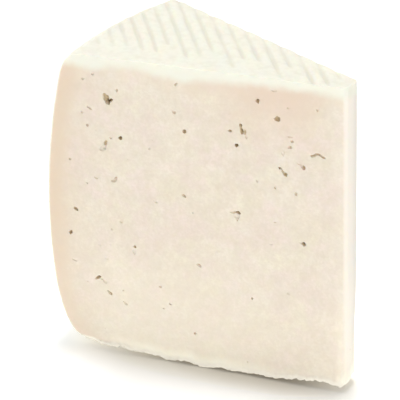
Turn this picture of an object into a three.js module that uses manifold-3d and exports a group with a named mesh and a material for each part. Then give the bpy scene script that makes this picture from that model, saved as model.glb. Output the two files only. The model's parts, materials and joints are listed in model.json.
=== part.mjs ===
// Goat cheese wedge: a twelfth of a small pressed wheel, cut down through the wheel's axis.
// Millimetres, +Z up. The wedge stands on its lower rind. The front cut looks towards -Y,
// the rind edge is at -X and the blunt tip at +X. The origin is under the middle of its box.
import * as THREE from 'three';
import { mergeVertices } from 'three/addons/utils/BufferGeometryUtils.js';
import Module from 'manifold-3d';

const wasm = await Module();
wasm.setup();

// Driving dimensions of the wheel
const wheelRadius = 98.3;
const wheelHeight = 92;
const standOuterRadius = 70; // the flat ring that the wheel stands on
const standInnerRadius = 46;
const hollowRadius = 16; // nearer the axis than this the arched base is level again
const hollowLift = 1.8; // how far the base arches up towards the wheel's axis
const shoulderLift = 2.6; // how far the base has risen where it turns up into the rim
const rimFootRadius = 90;
const topEdgeRadius = 84;

// The rim in section, from its foot up to the top edge: radius and height
const rimBulge = [
  [93.6, 4.4],
  [95.6, 9],
  [97.4, 18.6],
  [wheelRadius, 36.7],
  [97.2, 57.1],
  [94.6, 73.5],
  [92, 84.5],
  [90.2, wheelHeight - 2.2],
  [87.5, wheelHeight - 0.4],
];
const undersideRadii = [0, 10, hollowRadius, 24, 31, 38, standInnerRadius, 58, standOuterRadius, 75, 80, 85];
const topRadii = [66, 48, 30, 15, 0];
const rimPieces = 20;
const wheelFacets = 144;

// The rim is slightly uneven: size, waves around the wheel and twist per millimetre of height
const rimWaves = [
  [0.16, 12, 0],
  [0.12, 24, 1 / 11],
];
const rimWaveInset = 0.12;
const rimWaveFade = 4; // the waves fade out over this width towards the faces

// The cut piece
const wedgeAngle = THREE.MathUtils.degToRad(30);
const tipDistance = 11.4; // from the wheel's axis to the blunt tip, along either cut
const tipRounding = 1.2;
const knifeReach = 1.3 * wheelRadius;
const knifeOverlap = 10; // how far the knife passes the top and the base
const roundingPieces = 4;

// The pressed ribs of the upper and lower rind
const ribPitch = 3.63;
const ribCount = 19;
const ribTurn = THREE.MathUtils.degToRad(30.35); // from the front cut to the line across the ribs
const firstGrooveOffset = -74.9; // measured from the wheel's axis across the ribs
const grooveRadius = 0.85;
const grooveDepth = 0.55;
const grooveLift = 0.9; // how far a groove climbs out of the rind where it fades
const grooveOverrun = 4; // how far a groove runs past the back cut
const groovePieces = 6;
const frontFadeLength = 3.5;
const rimFadeLength = 4;
const plainBandWidest = 9; // smooth rind left between the grooves and the front cut
const plainBandNarrowest = 0.5;
const plainBandEnd = 24; // distance from the axis at which that band has run out
const plainBandGrowth = 60; // over this distance it grows to its widest
const plainRimMargin = 4;

// Eyes of the paste on the front cut: distance from the axis, height over the base, width, tallness
// and tilt in degrees
const frontEyes = [
  [78.5, 80.2, 2.2, 2.8, 15],
  [77.1, 79.1, 2.5, 1.9, 0],
  [81.8, 86.2, 1.4, 1.4, 0],
  [79.5, 66.0, 1.5, 2.8, -20],
  [80.8, 64.2, 1.9, 1.3, 0],
  [74.8, 68.4, 1.7, 1.3, 0],
  [77.2, 55.2, 1.8, 1.9, 20],
  [56.0, 73.1, 1.7, 1.6, 0],
  [58.7, 78.3, 1.4, 1.3, 0],
  [56.8, 53.5, 1.9, 1.2, -25],
  [65.4, 50.3, 1.6, 1.2, 30],
  [89.6, 44.2, 1.8, 1.5, 25],
  [91.6, 36.3, 1.6, 2.0, -15],
  [84.0, 23.1, 2.7, 1.4, 0],
  [82.4, 22.7, 1.7, 1.4, 35],
  [80.7, 18.5, 2.4, 1.3, 45],
  [76.1, 16.0, 2.0, 1.2, 35],
  [72.2, 35.0, 1.6, 1.4, 0],
  [53.2, 32.5, 2.1, 1.2, 30],
  [35.1, 84.9, 1.8, 1.8, 0],
  [29.7, 80.4, 2.1, 1.8, 0],
  [39.8, 76.9, 1.2, 1.8, 10],
  [39.1, 74.9, 1.6, 2.2, 10],
  [43.0, 75.1, 1.7, 1.3, 0],
  [41.2, 71.1, 1.6, 1.6, 0],
  [26.2, 75.7, 1.9, 1.0, 0],
  [26.0, 73.1, 1.7, 1.3, 0],
  [20.4, 71.2, 1.7, 0.9, -15],
  [18.6, 71.9, 2.2, 0.9, 0],
  [16.7, 71.2, 1.7, 0.9, 30],
  [29.2, 65.9, 1.1, 2.0, 35],
  [27.8, 64.6, 1.5, 1.6, 0],
  [22.8, 67.4, 1.4, 1.7, 0],
  [24.7, 59.2, 1.4, 1.7, -15],
  [41.5, 51.0, 2.8, 1.6, 0],
  [22.9, 44.4, 2.0, 1.8, 0],
];
const tipEyes = [[61, 1.2], [33, 0.9]]; // height over the base and width

// Seeded eyes, kept off the rind and off the tip
const eyeSeed = 4711;
const smallFrontEyes = 16;
const backEyes = 40;
const smallEye = 0.9;
const eyeSpread = 1.7; // how much wider than the smallest the widest seeded eye may be
const eyeField = { nearest: 22, reach: 66, lowest: 8, rise: 76 };
const eyeTallness = { least: 0.7, range: 0.5 };
const steepestTilt = 90;
const eyeDepthShare = 0.8; // depth of an eye, as a share of its smaller side
const fineEyeSize = 1.2; // eyes larger than this get more facets
const lumpsPerRadian = 3;
const lumpSize = 0.08;

// Bites torn out along the lower cut edges, and the chipped lower corner of the tip
const crumbSeed = 2903;
const crumbCount = 16;
const crumbStart = 16;
const crumbSize = 0.7;
const crumbLength = { least: 2, range: 3 };
const crumbBite = 0.6;
const tipChip = { width: 3.4, depth: 2.4, height: 6, inset: 0.3 };

const weldDistance = 1e-4;
const paste = new THREE.MeshStandardMaterial({ color: 0xf0e5d3, roughness: 0.6, metalness: 0 });

// Repeatable random numbers between 0 and 1
function seededDraw(seed) {
  const factor = 16807;
  const limit = 2147483647;
  let state = seed;
  return () => {
    state = (state * factor) % limit;
    return state / limit;
  };
}

// Closed three.js geometry to a solid, with shared corners and without the triangles at its poles
function toSolid(geometry) {
  geometry.deleteAttribute('normal');
  geometry.deleteAttribute('uv');
  const merged = mergeVertices(geometry, weldDistance);
  const corners = merged.index.array;
  const triangles = [];
  for (let i = 0; i < corners.length; i += 3) {
    const [a, b, c] = corners.slice(i, i + 3);
    if (a !== b && b !== c && c !== a) {
      triangles.push(a, b, c);
    }
  }
  const vertProperties = new Float32Array(merged.attributes.position.array);
  const triVerts = new Uint32Array(triangles);
  return new wasm.Manifold(new wasm.Mesh({ numProp: 3, vertProperties, triVerts }));
}

// Solid to three.js geometry
function toGeometry(solid) {
  const mesh = solid.getMesh();
  const places = new Float32Array(mesh.vertProperties);
  const geometry = new THREE.BufferGeometry();
  geometry.setAttribute('position', new THREE.BufferAttribute(places, 3));
  geometry.setIndex(new THREE.BufferAttribute(new Uint32Array(mesh.triVerts), 1));
  return geometry;
}

function subtractAll(solid, cutters) {
  return cutters.reduce((rest, cutter) => rest.subtract(cutter), solid);
}

// Point of the plan at a distance from the wheel's axis, turned away from the front cut
function planPoint(distance, turn) {
  return [-distance * Math.cos(turn), distance * Math.sin(turn)];
}

// Height of the underside at a distance from the wheel's axis
function baseHeight(radius) {
  const inner = 1 - THREE.MathUtils.smoothstep(radius, hollowRadius, standInnerRadius);
  const outer = THREE.MathUtils.smoothstep(radius, standOuterRadius, rimFootRadius);
  return hollowLift * inner + shoulderLift * outer;
}

// Half section of the wheel: the underside, the bulging rim and the flat top
function wheelSection() {
  const rimCorners = [[rimFootRadius, shoulderLift], ...rimBulge, [topEdgeRadius, wheelHeight]];
  const rim = new THREE.SplineCurve(rimCorners.map((corner) => new THREE.Vector2(...corner)));
  return [
    ...undersideRadii.map((radius) => new THREE.Vector2(radius, baseHeight(radius))),
    ...rim.getPoints(rimPieces),
    ...topRadii.map((radius) => new THREE.Vector2(radius, wheelHeight)),
  ];
}

// How far the rim stands out of true; the turn is rounded so that the seam stays closed
function rimWave(x, y, z) {
  const seamRounding = 1e4;
  const turn = Math.round(Math.atan2(y, x) * seamRounding) / seamRounding;
  const sum = rimWaves.reduce(
    (total, [size, count, twist]) => total + size * Math.sin(count * turn + twist * z),
    0,
  );
  return sum - rimWaveInset;
}

// The whole wheel, with a slightly uneven rim
function wheelSolid() {
  const geometry = new THREE.LatheGeometry(wheelSection(), wheelFacets);
  geometry.rotateX(Math.PI / 2);
  const place = geometry.attributes.position;
  for (let i = 0; i < place.count; i += 1) {
    const x = place.getX(i);
    const y = place.getY(i);
    const share = THREE.MathUtils.smoothstep(Math.hypot(x, y), rimFootRadius - rimWaveFade, rimFootRadius);
    const stretch = 1 + (share * rimWave(x, y, place.getZ(i))) / wheelRadius;
    place.setXY(i, x * stretch, y * stretch);
  }
  return toSolid(geometry);
}

// Plan outline that the knife leaves, with the tip rounded at both corners
function wedgeOutline() {
  const tipHalf = wedgeAngle / 2;
  const tipMiddle = planPoint(tipDistance * Math.cos(tipHalf), tipHalf);
  const flatHalf = tipDistance * Math.sin(tipHalf) - tipRounding;
  const flatEnd = (side) => [
    tipMiddle[0] + side * flatHalf * Math.sin(tipHalf),
    tipMiddle[1] + side * flatHalf * Math.cos(tipHalf),
  ];
  const roundingStart = tipDistance + tipRounding;
  const outline = new THREE.Shape();
  outline.moveTo(...planPoint(knifeReach, 0));
  outline.lineTo(...planPoint(roundingStart, 0));
  outline.quadraticCurveTo(...planPoint(tipDistance, 0), ...flatEnd(-1));
  outline.lineTo(...flatEnd(1));
  outline.quadraticCurveTo(...planPoint(tipDistance, wedgeAngle), ...planPoint(roundingStart, wedgeAngle));
  outline.lineTo(...planPoint(knifeReach, wedgeAngle));
  return outline;
}

function wedgeSolid() {
  const geometry = new THREE.ExtrudeGeometry(wedgeOutline(), {
    depth: wheelHeight + 2 * knifeOverlap,
    bevelEnabled: false,
    curveSegments: roundingPieces,
  });
  geometry.translate(0, 0, -knifeOverlap);
  return toSolid(geometry);
}

// Where a groove begins behind the plain band, measured along the groove
function grooveStart(offset) {
  const growth = (-offset / Math.cos(ribTurn) - plainBandEnd) / plainBandGrowth;
  const bandShare = Math.sqrt(THREE.MathUtils.clamp(growth, 0, 1));
  const frontGap = plainBandWidest * bandShare + plainBandNarrowest;
  return (frontGap - offset * Math.sin(ribTurn)) / Math.cos(ribTurn);
}

// Middle line of a groove's cutter: it follows the rind and climbs out of it at both ends
function groovePath(offset, heightAt, outward) {
  const start = grooveStart(offset);
  const rimEnd = Math.sqrt((rimFootRadius - plainRimMargin) ** 2 - offset ** 2);
  const backEnd = -offset * Math.tan(wedgeAngle + ribTurn) + grooveOverrun;
  const end = Math.min(rimEnd, backEnd);
  const path = [];
  for (let i = 0; i <= groovePieces; i += 1) {
    const run = start + ((end - start) * i) / groovePieces;
    const x = offset * Math.cos(ribTurn) - run * Math.sin(ribTurn);
    const y = offset * Math.sin(ribTurn) + run * Math.cos(ribTurn);
    const frontFade = 1 - THREE.MathUtils.smoothstep(run, start, start + frontFadeLength);
    const rimFade = rimEnd > backEnd ? 0 : THREE.MathUtils.smoothstep(run, end - rimFadeLength, end);
    const lift = grooveRadius - grooveDepth + grooveLift * Math.max(frontFade, rimFade);
    path.push(new THREE.Vector3(x, y, heightAt(Math.hypot(x, y)) + outward * lift));
  }
  return new THREE.CatmullRomCurve3(path);
}

// A round cutter along one groove of a rind
function grooveSolid(index, heightAt, outward) {
  const section = new THREE.Shape();
  section.absarc(0, 0, grooveRadius, 0, Math.PI * 2, false);
  const geometry = new THREE.ExtrudeGeometry(section, {
    steps: groovePieces,
    curveSegments: roundingPieces,
    extrudePath: groovePath(firstGrooveOffset + index * ribPitch, heightAt, outward),
  });
  return toSolid(geometry);
}

function ribGrooves() {
  const grooves = [];
  for (let i = 0; i < ribCount; i += 1) {
    grooves.push(grooveSolid(i, () => wheelHeight, 1));
    grooves.push(grooveSolid(i, baseHeight, -1));
  }
  return grooves;
}

// An uneven round cutter about the origin, flattened to its width, depth and height
function eyeShape(width, depth, height, draw) {
  const detail = Math.min(width, height) > fineEyeSize ? 1 : 0;
  const geometry = new THREE.IcosahedronGeometry(1, detail);
  const place = geometry.attributes.position;
  const phases = [draw(), draw(), draw()].map((value) => value * Math.PI * 2);
  const point = new THREE.Vector3();
  for (let i = 0; i < place.count; i += 1) {
    point.fromBufferAttribute(place, i);
    const lumps = point.toArray().map((value, axis) => Math.sin(lumpsPerRadian * value + phases[axis]));
    point.multiplyScalar(1 + lumpSize * (lumps[0] + lumps[1] + lumps[2]));
    place.setXYZ(i, point.x, point.y, point.z);
  }
  geometry.scale(width / 2, depth, height / 2);
  return geometry;
}

// An eye on one cut: side 0 is the front cut, side 1 the back cut
function eyeSolid(side, distance, height, width, tall, tilt, draw) {
  const geometry = eyeShape(width, Math.min(width, tall) * eyeDepthShare, tall, draw);
  geometry.rotateY(THREE.MathUtils.degToRad(tilt));
  geometry.translate(-distance, 0, height);
  geometry.rotateZ(-side * wedgeAngle);
  return toSolid(geometry);
}

function scatteredEyes(side, count, draw) {
  const eyes = [];
  for (let i = 0; i < count; i += 1) {
    const distance = eyeField.nearest + eyeField.reach * Math.sqrt(draw());
    const height = eyeField.lowest + eyeField.rise * draw();
    const width = smallEye + smallEye * eyeSpread * draw() ** 3;
    const tall = width * (eyeTallness.least + eyeTallness.range * draw());
    const tilt = steepestTilt * draw();
    eyes.push(eyeSolid(side, distance, height, width, tall, tilt, draw));
  }
  return eyes;
}

// A shallow eye in the flat of the tip
function tipEye(height, width, draw) {
  const geometry = eyeShape(width, width / 2, width, draw);
  geometry.translate(-tipDistance * Math.cos(wedgeAngle / 2), 0, height);
  geometry.rotateZ(-wedgeAngle / 2);
  return toSolid(geometry);
}

function pasteEyes() {
  const draw = seededDraw(eyeSeed);
  return [
    ...frontEyes.map((eye) => eyeSolid(0, ...eye, draw)),
    ...scatteredEyes(0, smallFrontEyes, draw),
    ...scatteredEyes(1, backEyes, draw),
    ...tipEyes.map(([height, width]) => tipEye(height, width, draw)),
  ];
}

// One bite out of a lower cut edge
function crumbSolid(side, index, draw) {
  const span = rimFootRadius - crumbStart;
  const distance = crumbStart + (span * (index + draw())) / crumbCount;
  const length = crumbSize * (crumbLength.least + crumbLength.range * draw());
  const depth = crumbSize * (crumbBite + draw());
  const height = crumbSize * (crumbBite + draw());
  const geometry = eyeShape(length, depth, height, draw);
  geometry.translate(-distance, 0, baseHeight(distance));
  geometry.rotateZ(-side * wedgeAngle);
  return toSolid(geometry);
}

function tornEdges() {
  const draw = seededDraw(crumbSeed);
  const bites = [];
  for (let side = 0; side < 2; side += 1) {
    for (let i = 0; i < crumbCount; i += 1) {
      bites.push(crumbSolid(side, i, draw));
    }
  }
  const chip = eyeShape(tipChip.width, tipChip.depth, tipChip.height, draw);
  chip.translate(tipChip.inset - tipDistance, 0, hollowLift);
  chip.rotateZ(-wedgeAngle);
  bites.push(toSolid(chip));
  return bites;
}

function cheeseWedge() {
  const block = wheelSolid().intersect(wedgeSolid());
  const solid = subtractAll(block, [...ribGrooves(), ...pasteEyes(), ...tornEdges()]);
  const geometry = toGeometry(solid);
  geometry.computeBoundingBox();
  const low = geometry.boundingBox.min;
  const middle = geometry.boundingBox.getCenter(new THREE.Vector3());
  geometry.translate(-middle.x, -middle.y, -low.z);
  const mesh = new THREE.Mesh(geometry, paste);
  mesh.name = 'cheese_wedge';
  return mesh;
}

const part = new THREE.Group();
part.add(cheeseWedge());

export default part;
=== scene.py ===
import json
import math
import random

import bmesh
import bpy
from mathutils import Matrix, Vector, noise

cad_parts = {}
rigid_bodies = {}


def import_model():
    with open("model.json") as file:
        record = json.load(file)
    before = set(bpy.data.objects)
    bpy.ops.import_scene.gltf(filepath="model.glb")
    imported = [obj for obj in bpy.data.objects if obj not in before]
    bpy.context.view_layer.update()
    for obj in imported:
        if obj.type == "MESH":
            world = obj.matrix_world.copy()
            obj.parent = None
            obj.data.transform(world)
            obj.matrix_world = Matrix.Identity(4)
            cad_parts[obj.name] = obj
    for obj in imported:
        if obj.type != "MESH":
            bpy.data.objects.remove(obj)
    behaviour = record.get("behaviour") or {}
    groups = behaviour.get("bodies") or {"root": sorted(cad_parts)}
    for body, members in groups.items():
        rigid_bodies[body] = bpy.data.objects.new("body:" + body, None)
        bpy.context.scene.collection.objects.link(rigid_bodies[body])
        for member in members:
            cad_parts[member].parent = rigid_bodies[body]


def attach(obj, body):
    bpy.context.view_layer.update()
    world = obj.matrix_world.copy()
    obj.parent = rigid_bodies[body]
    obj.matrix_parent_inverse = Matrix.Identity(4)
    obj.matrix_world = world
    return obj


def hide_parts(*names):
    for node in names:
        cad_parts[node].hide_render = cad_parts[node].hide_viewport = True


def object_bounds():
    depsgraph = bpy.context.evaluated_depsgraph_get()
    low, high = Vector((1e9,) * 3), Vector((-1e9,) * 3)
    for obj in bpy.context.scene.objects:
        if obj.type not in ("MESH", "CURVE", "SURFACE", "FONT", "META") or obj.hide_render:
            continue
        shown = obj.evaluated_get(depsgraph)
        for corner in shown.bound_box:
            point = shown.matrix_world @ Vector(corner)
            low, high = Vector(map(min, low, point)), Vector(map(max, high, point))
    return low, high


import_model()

# Goat cheese wedge, a twelfth of a small pressed wheel, standing on its lower rind.
# Lengths are in millimetres until the mesh is put in its place; the wheel's axis is then at 0, 0,
# the front cut runs from it along -X and the back cut lies 30 degrees further round.
# A grain says how often an unevenness changes in a millimetre, a layer keeps it apart from the
# others, and a rough is the softness, spread and number of its finer and finer octaves.
mm = 0.001
cadLow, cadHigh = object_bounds()

wheel = {
    "radius": 98.2,            # widest reach of the rim
    "rimShort": 0.04,          # the solid's rim ends this much short of it
    "height": 92.0,
    "capRadius": 86.0,         # where the flat top turns over into the rim
    "rimMargin": 0.12,         # a corner this near the edge of the cap belongs to the rim
    "footRadius": 88.0,        # where the underside turns up into the rim
    "footHeight": 2.4,
    "standInner": 46.0,        # the ring that touches the floor
    "standOuter": 70.0,
    "hollowEnd": 16.0,
    "hollowLift": 1.8,         # the base arches up towards the wheel's axis
    "bulgeStart": 38.0,        # nearer the axis than this nothing follows the bulge of the rim
    "topBlend": (0.90, 0.97),  # shares of the height where the rim takes up the relief of the top
    "baseBlend": (0.03, 0.10),
}

# The rim in section, from its foot to the top edge: start, two pulls and end of each arc, and steps
rimArcs = (
    ((wheel["footRadius"], wheel["footHeight"]), (93.6, 3.0), (95.6, 8.2), (97.3, 18.6), 26),
    ((97.3, 18.6), (99.1, 38.0), (98.2, 59.0), (92.4, 83.2), 72),
    ((92.4, 83.2), (91.4, 87.8), (90.0, 91.5), (wheel["capRadius"], wheel["height"]), 26),
)

rimUneven = {
    "grows": (84.0, 90.0),     # over these distances from the axis
    "offCut": 0.3,             # the edge of the front cut stays as it is
    "swell": 0.3,
    "swellGrain": 0.05,
    "swellLayer": 20,
    "dents": 0.20,
    "dentGrain": 0.30,
    "dentLayer": 25,
    "dentRough": (0.7, 2.1, 4),
    "inset": 0.1,
}

cut = {
    "angle": math.radians(30),
    "tip": 11.4,               # blunt tip, measured from the axis along either cut
    "tipSlack": 1.0,           # a corner this near the tip's arc belongs to the tip
    "tipRounding": 1.3,
    "tipSteps": 4,
    "arcSteps": 24,
    "onCut": 0.02,             # a vertex this near the plane of a cut lies on it
    "wave": 0.22,              # how far the knife strayed from a flat cut
    "waveSize": 26.0,
    "drag": 0.05,              # small dents of the crumbly paste
    "dragSize": 4.5,
    "layer": 40.0,
    "tipBow": 0.66,            # the tip leans out above and is chipped below
    "tipBowTurn": (0.15, 0.36),     # shares of the wall's rows where it turns from one to the other
    "tipBowBelow": 0.12,
    "tipBowEnd": 30.0,
    "sharpFrom": math.radians(55),
}

# Torn lower edge of the cuts
edge = {
    "width": 2.6,              # it stands off the floor over this width
    "least": 0.08,
    "tear": 0.42,              # how ragged its height is
    "tearGrain": 0.85,
    "tearLayers": (11.0, 47.0, 1.0),     # front, back and the row that both read
    "tearRough": (0.6, 2.1, 3),
    "lip": 0.60,               # it leans out of the cut
    "lipHeight": 1.25,
    "lipRimEnd": (82, 90),
    "lipTipEnd": (12, 26),     # of the back cut alone
    "crumb": 0.8,              # how ragged the lip is, as a share of the tear
    "crumbGrain": (0.55, 0.7),
    "crumbLayer": 70.0,
    "crumbRough": (0.7, 2.2, 4),
    "backShare": 0.5,          # the back cut is torn less high, in the opposite order
    "backTurn": 100,
    "tipLift": 0.9,            # the tip is chipped behind the front cut
    "tipLiftEnd": 19,
    "tipLiftFrom": (1.5, 5.0),
}

# Torn edge of the front cut: distance from the axis, height over the floor
tornEdge = (
    (11.6, 1.6), (13.8, 1.7), (15.6, 2.3), (19.0, 2.3), (22.8, 1.6), (25.0, 1.75), (28.5, 0.9),
    (33.2, 0.6), (36.4, 0.85), (42.5, 0.4), (47.3, 0.7), (52.5, 0.15), (54.8, 0.15), (56.4, 0.9),
    (59.0, 0.9), (64.2, 0.3), (66.2, 0.9), (70.0, 1.2), (75.2, 1.1), (76.5, 1.6), (78.6, 1.8),
    (83.0, 1.5), (88.0, 2.4),
)

ribs = {
    "turn": math.radians(30.35),
    "pitch": 3.63,
    "count": 19,
    "first": -74.9,
    "cuts": (-1.25, -0.8, -0.45, 0.0, 0.45, 0.8, 1.25, 1.815),     # rows of vertices across one rib
    "alongFrom": 5.0,
    "alongTo": 76.0,
    "alongStep": 0.72,
    "planeSlack": 1e-4,
    "mergeWithin": 0.15,
    "snapWithin": 0.16,
    "depth": 0.50,
    "floor": 0.05,             # half width of a groove's floor
    "halfWidth": 1.05,
    "crown": 0.10,             # ribs are slightly rounded
    "frontFade": (-0.9, 1.8),  # around the start of a groove
    "rimFade": (85.5, 89.0),
    "backShare": 0.55,         # grooves are shallower at the back cut
    "backFade": 5,
    "wander": 0.16,            # grooves aren't quite straight
    "wanderGrain": 0.16,
    "wanderLayer": 3.0,
    "press": 0.82,             # nor equally deep
    "pressSwing": 0.55,
    "pressGrain": 0.13,
    "pressLayer": 8.0,
    "pressLimits": (0.35, 1.15),
}

# Plain band between the front cut and the groove ends: how far each groove stays off the cut
grooveStarts = (8.0, 8.0, 7.9, 8.7, 8.7, 7.3, 7.2, 12.6, 6.6, 8.2, 11.1, 4.0, 9.8, 9.7, 1.2, 8.1, -0.5,
                0.7, 4.8)

rind = {
    "pits": 0.11,
    "pitGrain": 0.55,
    "pitLayer": 5.0,
    "pitRough": (0.9, 2.1, 3),
    "sag": 0.14,
    "sagGrain": 0.05,
    "sagLayer": 2.0,
    "backTurn": 106,           # the back cut shows the edge below in the opposite order
}

# Thickness of the white rind where the front cut shows it: distance from the axis, thickness
rindEdge = (
    (10, 2.9), (18, 2.1), (32, 2.1), (42, 2.5), (50, 2.8), (56, 4.0), (62, 3.3), (70, 1.8), (76, 2.3),
    (82, 3.6), (90, 2.8), (100, 2.8),
)

frontNormal = Vector((0, -1, 0))
backNormal = Vector((math.sin(cut["angle"]), math.cos(cut["angle"]), 0))
tipNormal = Vector((math.cos(cut["angle"] / 2), -math.sin(cut["angle"] / 2), 0))
tipReach = -cut["tip"] * math.cos(cut["angle"] / 2)
axisPlace = Vector((cadLow.x + (wheel["radius"] - wheel["rimShort"]) * mm, cadLow.y, 0))


def smooth(value, low, high):
    share = min(max((value - low) / (high - low), 0.0), 1.0)
    return share * share * (3 - 2 * share)


def mix(a, b, share):
    return a + (b - a) * share


# Reads a row of places and values, with a soft step from each to the next
def readAlong(row, place):
    for (nearer, low), (further, high) in zip(row, row[1:]):
        if place <= further:
            return mix(low, high, smooth(place, nearer, further))
    return row[-1][1]


def unevenAt(x, y, grain, layer):
    return noise.noise(Vector((x * grain, y * grain, layer)))


def roughAt(x, y, grain, layer, rough):
    return noise.fractal(Vector((x * grain, y * grain, layer)), *rough)


def baseHeight(radius):
    hollow = wheel["hollowLift"] * (1 - smooth(radius, wheel["hollowEnd"], wheel["standInner"]))
    shoulder = wheel["footHeight"] * smooth(radius, wheel["standOuter"], wheel["footRadius"])
    return hollow + shoulder


def rimSection():
    points = []
    for *corners, steps in rimArcs:
        for i in range(steps):
            t = i / steps
            weights = ((1 - t) ** 3, 3 * t * (1 - t) ** 2, 3 * t * t * (1 - t), t ** 3)
            point = (sum(w * corner[axis] for w, corner in zip(weights, corners)) for axis in (0, 1))
            points.append(tuple(point))
    points.append((wheel["capRadius"], wheel["height"]))
    return points


rimPoints = rimSection()
rimRows = len(rimPoints) - 1


# Mesh of the wedge: plan, rows along and across the ribs, walls
def wedgePlan():
    bm = bmesh.new()
    near = bm.verts.new((-cut["tip"], 0, 0))
    far = bm.verts.new((-wheel["capRadius"], 0, 0))
    line = bm.edges.new((near, far))
    bmesh.ops.spin(bm, geom=[near, far, line], cent=(0, 0, 0), axis=(0, 0, 1), angle=-cut["angle"],
                   steps=cut["arcSteps"])
    bmesh.ops.dissolve_faces(bm, faces=bm.faces[:], use_verts=False)
    frontEnd = Vector((-cut["tip"], 0, 0))
    backEnd = Vector((-cut["tip"] * math.cos(cut["angle"]), cut["tip"] * math.sin(cut["angle"]), 0))
    tips = [v for v in bm.verts if v.co.length < cut["tip"] + cut["tipSlack"]]
    keep = [min(tips, key=lambda v: (v.co - end).length) for end in (frontEnd, backEnd)]
    bmesh.ops.dissolve_verts(bm, verts=[v for v in tips if v not in keep])
    bmesh.ops.bevel(bm, geom=keep, offset=cut["tipRounding"], segments=cut["tipSteps"], affect="VERTICES",
                    profile=0.5, material=-1)
    return bm


# Merging pulls some outline corners a little way off the cuts and the tip
def snapToOutline(bm):
    for v in bm.verts:
        if not v.is_boundary:
            continue
        for normal, reach in ((frontNormal, 0), (backNormal, 0), (tipNormal, tipReach)):
            off = v.co.dot(normal) - reach
            if abs(off) < ribs["snapWithin"]:
                v.co -= normal * off
                break


def cutPlan(bm):
    across = Vector((math.cos(ribs["turn"]), math.sin(ribs["turn"]), 0))
    along = Vector((-across.y, across.x, 0))
    middles = [ribs["first"] + ribs["pitch"] * i for i in range(-1, ribs["count"] + 1)]
    lines = [(across, middle + step) for middle in middles for step in ribs["cuts"]]
    steps = int((ribs["alongTo"] - ribs["alongFrom"]) / ribs["alongStep"])
    lines += [(along, ribs["alongFrom"] + ribs["alongStep"] * i) for i in range(steps)]
    for normal, offset in lines:
        bmesh.ops.bisect_plane(bm, geom=bm.verts[:] + bm.edges[:] + bm.faces[:], dist=ribs["planeSlack"],
                               plane_co=normal * offset, plane_no=normal)
    bmesh.ops.remove_doubles(bm, verts=bm.verts[:], dist=ribs["mergeWithin"])
    snapToOutline(bm)


# The walls are 1 high at first, so that a vertex's height says which row of the rim it follows
def raiseWalls(bm):
    top = bmesh.ops.extrude_face_region(bm, geom=bm.faces[:])
    raised = [part for part in top["geom"] if isinstance(part, bmesh.types.BMVert)]
    bmesh.ops.translate(bm, verts=raised, vec=(0, 0, 1))
    posts = [e for e in bm.edges if e.verts[0].co.z != e.verts[1].co.z]
    bmesh.ops.subdivide_edges(bm, edges=posts, cuts=rimRows - 1, use_grid_fill=True)
    bmesh.ops.recalc_face_normals(bm, faces=bm.faces[:])


# How deep in a groove a place of the pressed faces lies, and how high on the crown of a rib;
# side is 1 on the top and 0 on the underside
def grooveShare(x, y, radius, side):
    offset = x * math.cos(ribs["turn"]) + y * math.sin(ribs["turn"])
    place = (offset - ribs["first"]) / ribs["pitch"]
    index = round(place)
    if not 0 <= index < ribs["count"]:
        return 0.0, 0.0
    wander = ribs["wander"] * unevenAt(x, y, ribs["wanderGrain"], ribs["wanderLayer"] + side)
    distance = abs((place - index) * ribs["pitch"] + wander)
    start = grooveStarts[index] if side else grooveStarts[-1 - index]
    before, behind = ribs["frontFade"]
    ends = smooth(y, start + before, start + behind) * (1 - smooth(radius, *ribs["rimFade"]))
    toBack = -Vector((x, y, 0)).dot(backNormal)
    ends *= mix(ribs["backShare"], 1, smooth(toBack, 0, ribs["backFade"]))
    swing = ribs["pressSwing"] * unevenAt(x, y, ribs["pressGrain"], ribs["pressLayer"] + side)
    lightest, deepest = ribs["pressLimits"]
    press = min(max(ribs["press"] + swing, lightest), deepest)
    shape = 1 - smooth(distance, ribs["floor"], ribs["halfWidth"])
    crown = smooth(distance, ribs["halfWidth"], ribs["pitch"] / 2)
    return shape * ends * press, crown * ends


# The lower edge is torn, so it stands a little off the floor, in small uneven steps
def edgeLift(x, y, radius):
    place = Vector((x, y, 0))
    toFront, toBack = abs(place.dot(frontNormal)), abs(place.dot(backNormal))
    toTip = abs(place.dot(tipNormal) - tipReach)
    share = 1 - smooth(min(toFront, toBack, toTip), 0, edge["width"])
    if not share:
        return 0.0
    isFront = toFront < toBack
    frontLayer, backLayer, tearRow = edge["tearLayers"]
    spot = Vector((radius * edge["tearGrain"], frontLayer if isFront else backLayer, tearRow))
    height = readAlong(tornEdge, radius if isFront else edge["backTurn"] - radius)
    height += edge["tear"] * noise.fractal(spot, *edge["tearRough"])
    if not isFront:
        height = edge["backShare"] * height + baseHeight(radius)
    nearTip = 1 - smooth(radius, cut["tip"], edge["tipLiftEnd"])
    height += edge["tipLift"] * nearTip * smooth(y, *edge["tipLiftFrom"])
    return share * (max(height, edge["least"]) - baseHeight(radius))


def capRelief(x, y, radius, side):
    pits = rind["pits"] * roughAt(x, y, rind["pitGrain"], rind["pitLayer"] * side, rind["pitRough"])
    sag = rind["sag"] * unevenAt(x, y, rind["sagGrain"], rind["sagLayer"] + side)
    groove, crown = grooveShare(x, y, radius, side)
    return ribs["depth"] * groove - ribs["crown"] * crown - pits - sag


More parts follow.
